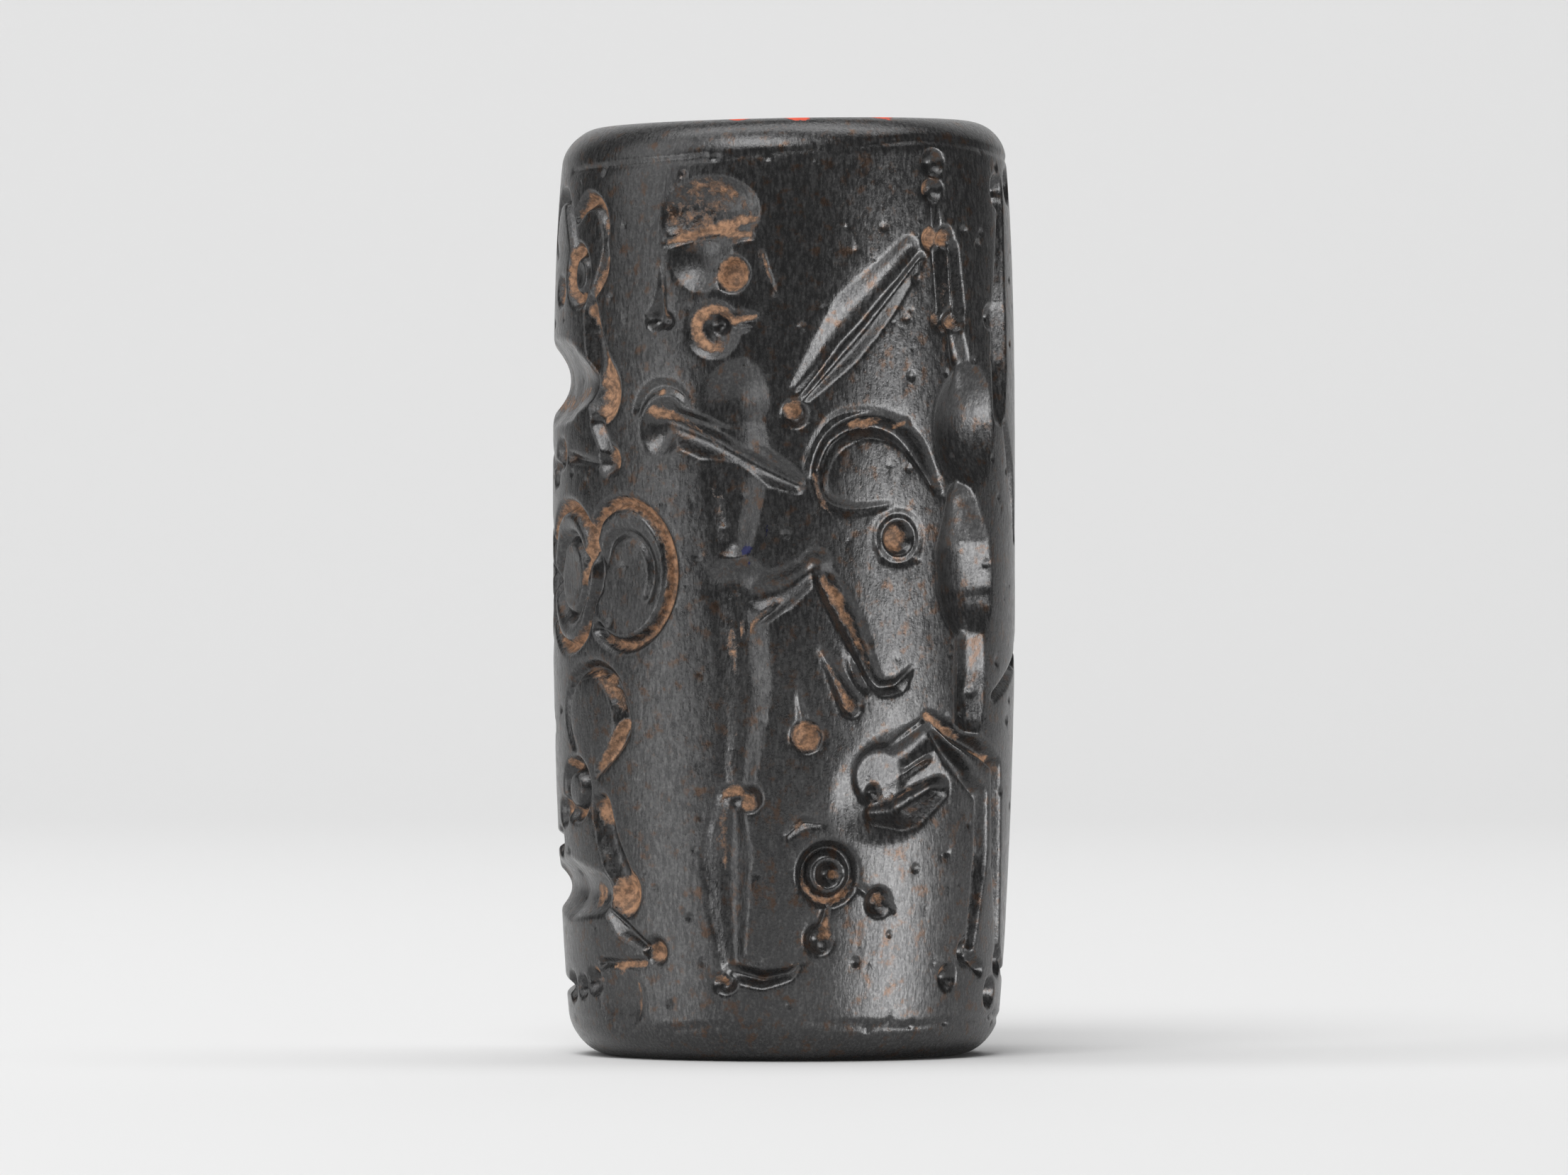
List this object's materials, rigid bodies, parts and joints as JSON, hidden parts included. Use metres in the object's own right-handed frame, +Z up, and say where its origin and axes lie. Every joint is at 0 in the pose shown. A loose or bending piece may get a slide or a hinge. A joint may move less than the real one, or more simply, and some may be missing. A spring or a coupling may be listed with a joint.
{
  "type": "cylinder seal",
  "caption": "Small bored stone drum with rounded ends, carved all round in intaglio with heroes, a lion held head down, winged beasts, goats and a guilloche.",
  "frame": {"origin": "centre of the base end face, on which the seal stands", "axes": "+Z up along the drum's axis and its bore, -Y toward the side that the picture shows, +X to that side's right"},
  "size_m": [0.0124, 0.0124, 0.025],
  "materials": {
    "dark_stone": "polished and worn, with a dull metallic sheen and orange-brown earth in the cuts"
  },
  "bodies": {
    "root": {"seal": "dark_stone"}
  },
  "joints": []
}
